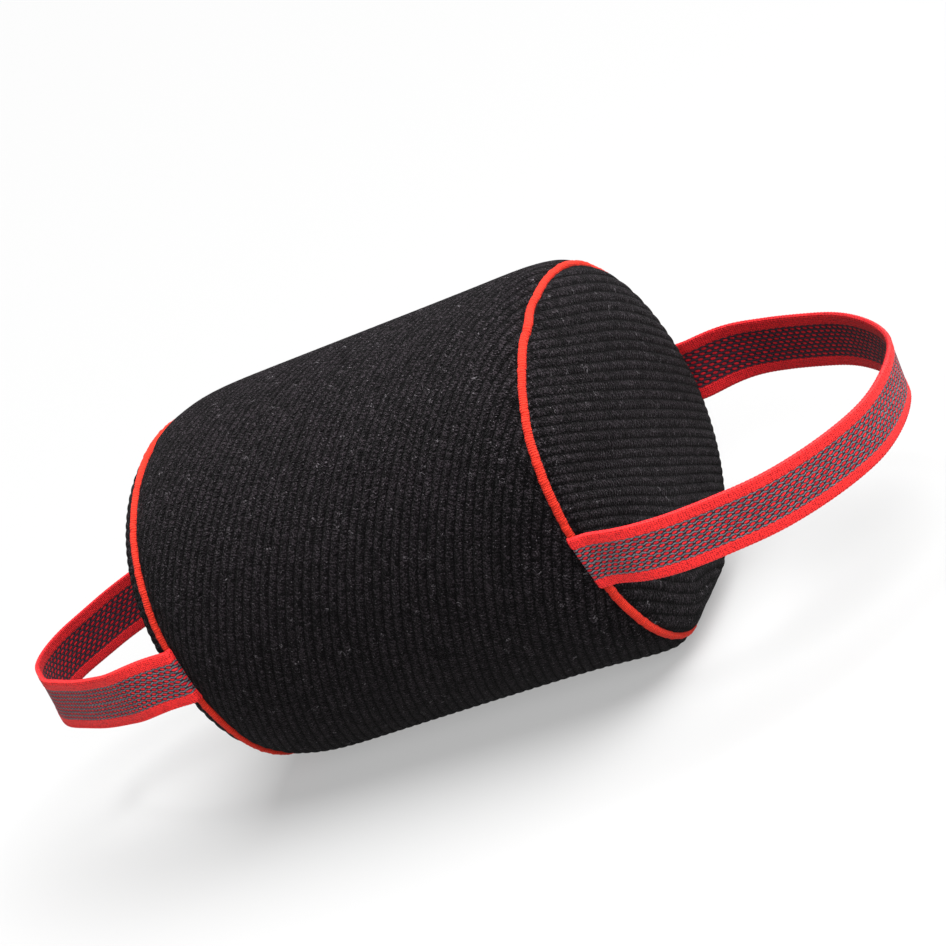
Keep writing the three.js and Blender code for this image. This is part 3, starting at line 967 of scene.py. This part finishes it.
def strapLine(end):
    # the webbing's middle line in plan: [out from the seam, across], front tail to back tail
    bend, inward, lead = (strapMake[key] for key in ("bend", "inward", "lead"))
    spread = size["beadRing"] + size["beadRadius"] + 0.3 * mm + webbing["thickness"] / 2
    halves = []
    for where in (math.pi, 0):  # the front leg, then the back leg
        ring = size["beadRing"] * float(roundShare(ends[end] * seamHalf, where))
        half = [(-inward, strapMake["tailRadius"]), (-inward, ring - 1.5 * mm)]
        for k in range(1, 6):
            angle = math.pi / 2 * k / 5
            half.append((-inward * math.cos(angle), ring + bend * math.sin(angle)))
        half.append((lead, ring + bend))
        half += [(out * mm, share * spread) for out, share in handleMake[end]["outline"]]
        halves.append(half)
    front = [(out, -across) for out, across in halves[0]]
    line, along = smoothPath(front + halves[1][:-1][::-1], strapMake["alongStep"])
    free = np.clip((line[:, :1] - lead) / strapMake["easeStart"], 0, 1)
    reach = int(strapMake["easeReach"] / strapMake["alongStep"])
    padded = np.concatenate([np.repeat(line[:1], reach, axis=0), line, np.repeat(line[-1:], reach, axis=0)])
    eased = np.stack([np.convolve(padded[:, k], np.hanning(2 * reach + 1) / reach, "valid")
                      for k in range(2)], axis=1)
    return line + (eased - line) * free, along


def ringAcross(end, up):
    # how far from the axis the seam's ring passes at each height above the axis, front then back
    found = []
    for where in (math.pi, 0):
        angle = np.full_like(up, where)
        for step in range(4):
            ring = size["beadRing"] * roundShare(ends[end] * seamHalf, angle)
            tilt = np.arcsin(np.clip(up / ring, -1, 1))
            angle = math.pi - tilt if where else tilt
        found.append(np.sqrt(np.maximum(ring ** 2 - up ** 2, 0)))
    return found


def halfThickness(across):
    # the red bands are fuller than the mottled middle, and the edges are round
    half = webbing["width"] / 2
    full = webbing["thickness"] / 2
    middle = 0.80 * full
    band = np.clip((np.abs(across) - webbing["middleHalf"]) / (0.5 * mm), 0, 1)
    level = middle + (full - middle) * band * band * (3 - 2 * band)
    toEdge = np.clip((half - np.abs(across)) / strapMake["edgeRound"], 0, 1)
    return level * np.sqrt(1 - (1 - toEdge) ** 2)


def dotRelief(across, along):
    # dips round the same rows of dots as the webbing's finish shows
    w = webbing
    row = across / w["rowPitch"]
    cell = along / w["dotPitch"] + np.floor(row) % 2 * 0.5
    dotX = (cell % 1 - 0.5) * w["dotPitch"]
    dotY = (row % 1 - 0.5) * w["rowPitch"] - dotX * w["dotTilt"]
    reach = (dotX / w["dotHalfLength"]) ** 2 + (dotY / w["dotHalfWidth"]) ** 2
    dip = np.exp(-((reach - 1.15) / 0.35) ** 2)
    return -dip * (np.abs(across) < w["middleHalf"])


def acrossStations():
    half = webbing["width"] / 2
    edge = strapMake["edgeRound"]
    rim = half - edge * (1 - np.sin(np.linspace(0, math.pi / 2, strapMake["rimCells"])))
    inner = np.linspace(-half + edge, half - edge, strapMake["acrossCells"])
    return np.concatenate([-rim[::-1][:-1], inner, rim[1:]])


def makeStrap(end):
    side = ends[end]
    line, along = strapLine(end)
    hinge = size["hinge"][end]
    ahead = np.gradient(line, axis=0)
    ahead /= np.linalg.norm(ahead, axis=1, keepdims=True)
    outward = np.stack([ahead[:, 1], -ahead[:, 0]], axis=1)
    if outward[len(outward) // 2, 0] < 0:
        outward = -outward
    across = acrossStations()
    thick = halfThickness(across)
    both = np.concatenate([across, across[::-1][1:-1]])
    face = np.concatenate([np.ones(len(across)), -np.ones(len(across) - 2)])
    level = np.concatenate([thick, -thick[::-1][1:-1]])
    relief = dotRelief(both[None, :], along[:, None]) * strapMake["dotDip"]
    edgeRib = np.sin(along[:, None] * turn / strapMake["ripplePitch"]) * strapMake["edgeRipple"]
    edgeRib = edgeRib * (np.abs(both)[None, :] > webbing["middleHalf"] + strapMake["rippleFrom"])
    lift = level[None, :] + (relief + edgeRib) * face[None, :]
    out = line[:, :1] + outward[:, :1] * lift
    over = line[:, 1:] + outward[:, 1:] * lift
    waver = strapMake["waver"] * np.sin(along[:, None] / strapMake["waverLength"] + side)
    height = both[None, :] * handleMake[end]["widthShare"] + waver * np.sign(both)[None, :]
    hug = np.clip(1 - (out - strapMake["hugStart"]) / strapMake["hugLength"], 0, 1)
    hug = hug * hug * (3 - 2 * hug)
    rings = ringAcross(end, height[0] + hinge[2] - axisHeight)
    centre = [size["beadRing"] * float(roundShare(side * seamHalf, where)) for where in (math.pi, 0)]
    over = over + hug * np.where(over < 0, centre[0] - rings[0][None, :], rings[1][None, :] - centre[1])
    # droop beyond the bending line, and the two tails stay level
    hingeOut = abs(hinge[0]) - seamHalf
    past = np.clip(out / (2.4 * hingeOut), 0, 1)
    angle = math.radians(handleMake[end]["droop"]) * past * past * (3 - 2 * past)
    fromHinge = out - hingeOut
    tip = np.clip(fromHinge / (handleMake[end]["outline"][-1][0] * mm - hingeOut), 0, 1)
    twist = angle - math.radians(handleMake[end]["lean"]) * tip * tip * (3 - 2 * tip)
    raised = handleMake[end]["lift"] * mm * tip ** 1.5
    turnedOut = hingeOut + fromHinge * np.cos(angle) + height * np.sin(twist) + raised * np.sin(angle)
    turnedUp = -fromHinge * np.sin(angle) + height * np.cos(twist) + raised * np.cos(angle)
    points = np.stack([side * (seamHalf + turnedOut), over + 0 * height, hinge[2] + turnedUp], axis=-1)
    rows, columns = points.shape[:2]
    quads = gridFaces(rows, columns, True)
    inside = len(across) + np.arange(len(both) - len(across))
    labels = both.copy()
    labels[inside] += 0.1
    u = np.broadcast_to(labels[None, :], points.shape[:2]).reshape(-1)
    v = np.broadcast_to(along[:, None], points.shape[:2]).reshape(-1)
    corners = np.stack([u[quads], v[quads]], axis=-1)
    mixed = (corners[..., 0].max(axis=1) > 0.05) & (corners[..., 0].min(axis=1) < 0.05)
    corners[mixed, :, 0] = np.where(corners[mixed, :, 0] < 0.05, corners[mixed, :, 0] + 0.1,
                                    corners[mixed, :, 0])
    strap = newMesh("handle" + end.capitalize(), points.reshape(-1, 3), quads, corners,
                    finishes["webbing"])
    closeEnds(strap, rows, columns)
    faceOutward(strap)
    return strap


straps = {end: makeStrap(end) for end in ends}
print("handles made")


def stitchTree():
    # geometry nodes: one short stitch at each point of a line, turned along it
    tree = bpy.data.node_groups.new("seamStitches", "GeometryNodeTree")
    face = tree.interface
    face.new_socket("Geometry", in_out="INPUT", socket_type="NodeSocketGeometry")
    for label in ("Stitch spacing", "Stitch length", "Thread radius", "Slant"):
        face.new_socket(label, in_out="INPUT", socket_type="NodeSocketFloat")
    face.new_socket("Thread", in_out="INPUT", socket_type="NodeSocketMaterial")
    face.new_socket("Geometry", in_out="OUTPUT", socket_type="NodeSocketGeometry")
    nodes, links = tree.nodes, tree.links
    given, out = nodes.new("NodeGroupInput"), nodes.new("NodeGroupOutput")
    curve = nodes.new("GeometryNodeMeshToCurve")
    links.new(given.outputs["Geometry"], curve.inputs["Mesh"])
    spaced = nodes.new("GeometryNodeResampleCurve")
    spaced.mode = "LENGTH"
    links.new(curve.outputs[0], spaced.inputs["Curve"])
    links.new(given.outputs["Stitch spacing"], spaced.inputs["Length"])
    stitch = nodes.new("GeometryNodeMeshCylinder")
    stitch.inputs["Vertices"].default_value = 8
    stitch.inputs["Side Segments"].default_value = 3
    links.new(given.outputs["Thread radius"], stitch.inputs["Radius"])
    links.new(given.outputs["Stitch length"], stitch.inputs["Depth"])
    turned = nodes.new("FunctionNodeAlignRotationToVector")
    turned.axis = "Z"
    tangent = nodes.new("GeometryNodeInputTangent")
    lean = nodes.new("ShaderNodeVectorMath")
    lean.operation = "ADD"
    combine = nodes.new("ShaderNodeCombineXYZ")
    links.new(given.outputs["Slant"], combine.inputs["Z"])
    links.new(tangent.outputs[0], lean.inputs[0])
    links.new(combine.outputs[0], lean.inputs[1])
    links.new(lean.outputs[0], turned.inputs["Vector"])
    put = nodes.new("GeometryNodeInstanceOnPoints")
    links.new(spaced.outputs[0], put.inputs["Points"])
    links.new(stitch.outputs["Mesh"], put.inputs["Instance"])
    links.new(turned.outputs[0], put.inputs["Rotation"])
    real = nodes.new("GeometryNodeRealizeInstances")
    links.new(put.outputs[0], real.inputs[0])
    dress = nodes.new("GeometryNodeSetMaterial")
    links.new(real.outputs[0], dress.inputs["Geometry"])
    links.new(given.outputs["Thread"], dress.inputs["Material"])
    links.new(dress.outputs[0], out.inputs[0])
    return tree


stitchMake = {
    "points": 60,
    "sunk": 0.55 * mm,
    "spacing": 5.5 * mm,
    "length": 3.4 * mm,
    "threadRadius": 0.38 * mm,
    "slant": 0.55,
}


def makeClosingStitches():
    low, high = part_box("closing_seam_thread")
    count = stitchMake["points"]
    x = np.linspace(low.x, high.x, count)
    surface = onRoll(x, coverRadius(x) - stitchMake["sunk"], np.full(count, closingAngle))
    surface = surface + coverMoves(x, np.full(count, closingAngle))
    mesh = bpy.data.meshes.new("closingStitches")
    mesh.from_pydata([tuple(p) for p in surface], [(k, k + 1) for k in range(count - 1)], [])
    piece = bpy.data.objects.new("closingStitches", mesh)
    bpy.context.scene.collection.objects.link(piece)
    return applyNodes(piece, stitchTree(), {
        "Stitch spacing": stitchMake["spacing"], "Stitch length": stitchMake["length"],
        "Thread radius": stitchMake["threadRadius"], "Slant": stitchMake["slant"],
        "Thread": finishes["thread"]})


stitches = makeClosingStitches()
print("stitches made")


def declare(piece, slotName, *nodes):
    if nodes:
        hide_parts(*nodes)


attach(cover, bodyName)
declare(cover, "cover_fabric", "main_cover")
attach(stitches, bodyName)
declare(stitches, "thread", "closing_seam_thread")
for end in ends:
    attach(panels[end], bodyName)
    declare(panels[end], "cover_fabric", "end_panel_" + end)
    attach(pipings[end], bodyName)
    declare(pipings[end], "piping_tape", "piping_cover_" + end, "piping_cord_" + end)
    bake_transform(straps[end])
    declare(straps[end], "webbing", "handle_" + end,
            "handle_tail_%s_front" % end, "handle_tail_%s_back" % end)

shownSlots = {row["node"]: row["material_slot"] for row in frame["record"]["subparts"]}
for node, nodeObject in frame["nodes"].items():
    nodeObject.data.materials.clear()
    nodeObject.data.materials.append(finishes[shownSlots[node]])


cameraMake = {
    "lens": 122.0,
    "azimuth": 34.11,
    "elevation": 20.06,
    "roll": 32.6,
    "distance": 1046.8 * mm,
    "aim": (15.7 * mm, 12.3 * mm, axisHeight + 3.8 * mm),
}


def makeCamera():
    data = bpy.data.cameras.new("camera")
    data.lens = cameraMake["lens"]
    data.sensor_width = 36
    camera = bpy.data.objects.new("camera", data)
    bpy.context.scene.collection.objects.link(camera)
    azimuth = math.radians(cameraMake["azimuth"])
    elevation = math.radians(cameraMake["elevation"])
    back = Vector((math.sin(azimuth) * math.cos(elevation),
                   -math.cos(azimuth) * math.cos(elevation), math.sin(elevation)))
    facing = (-back).to_track_quat("-Z", "Y").to_matrix().to_4x4()
    roll = Matrix.Rotation(math.radians(cameraMake["roll"]), 4, "Z")
    place = Matrix.Translation(Vector(cameraMake["aim"]) + back * cameraMake["distance"])
    camera.matrix_world = place @ facing @ roll.inverted()
    bpy.context.scene.camera = camera
    return camera


stageMake = {
    "floorReach": 12.0,
    "floorTone": 0.19,
    "floorGlow": 0.38,
    "worldStrength": 0.15,
    "keyFrom": (0.42, 0.25, 1.10),
    "keyStrength": 10.2,
    "keySpread": 60,  # degrees
    "frontPlace": (0.80, -1.00, 0.80),
    "frontSide": 0.6,
    "frontPower": 14,
}


def makeFloor():
    reach = stageMake["floorReach"]
    tone = stageMake["floorTone"]
    floor = newMesh("floor", [(-reach, -reach, 0), (reach, -reach, 0), (reach, reach, 0), (-reach, reach, 0)],
                    [(0, 1, 2, 3)], smooth=False)
    s = Shader("paleFloor")
    s.put(s.bsdf.inputs["Emission Color"], (1, 1, 1, 1))
    s.put(s.bsdf.inputs["Emission Strength"], stageMake["floorGlow"])
    floor.data.materials.append(s.finish((tone, tone, tone, 1), 0.9, None, specular=0.0))


def addSun(name, place, strength, spread):
    data = bpy.data.lights.new(name, "SUN")
    data.energy = strength
    data.angle = math.radians(spread)
    light = bpy.data.objects.new(name, data)
    bpy.context.scene.collection.objects.link(light)
    light.matrix_world = (-Vector(place)).to_track_quat("-Z", "Y").to_matrix().to_4x4()


def addLight(name, place, aim, side, power):
    data = bpy.data.lights.new(name, "AREA")
    data.shape = "RECTANGLE"
    data.size, data.size_y = side, side
    data.energy = power
    light = bpy.data.objects.new(name, data)
    bpy.context.scene.collection.objects.link(light)
    facing = (Vector(aim) - Vector(place)).to_track_quat("-Z", "Y").to_matrix().to_4x4()
    light.matrix_world = Matrix.Translation(Vector(place)) @ facing


def makeLight():
    world = bpy.data.worlds.new("studio")
    world.use_nodes = True
    world.node_tree.nodes["Background"].inputs[0].default_value = (1, 1, 1, 1)
    world.node_tree.nodes["Background"].inputs[1].default_value = stageMake["worldStrength"]
    bpy.context.scene.world = world
    centre = (0, 0, axisHeight)
    addSun("key", stageMake["keyFrom"], stageMake["keyStrength"], stageMake["keySpread"])
    addLight("front", stageMake["frontPlace"], centre, stageMake["frontSide"], stageMake["frontPower"])


camera = makeCamera()
makeFloor()
makeLight()
bpy.context.scene.view_settings.view_transform = "Standard"
print("stage made")
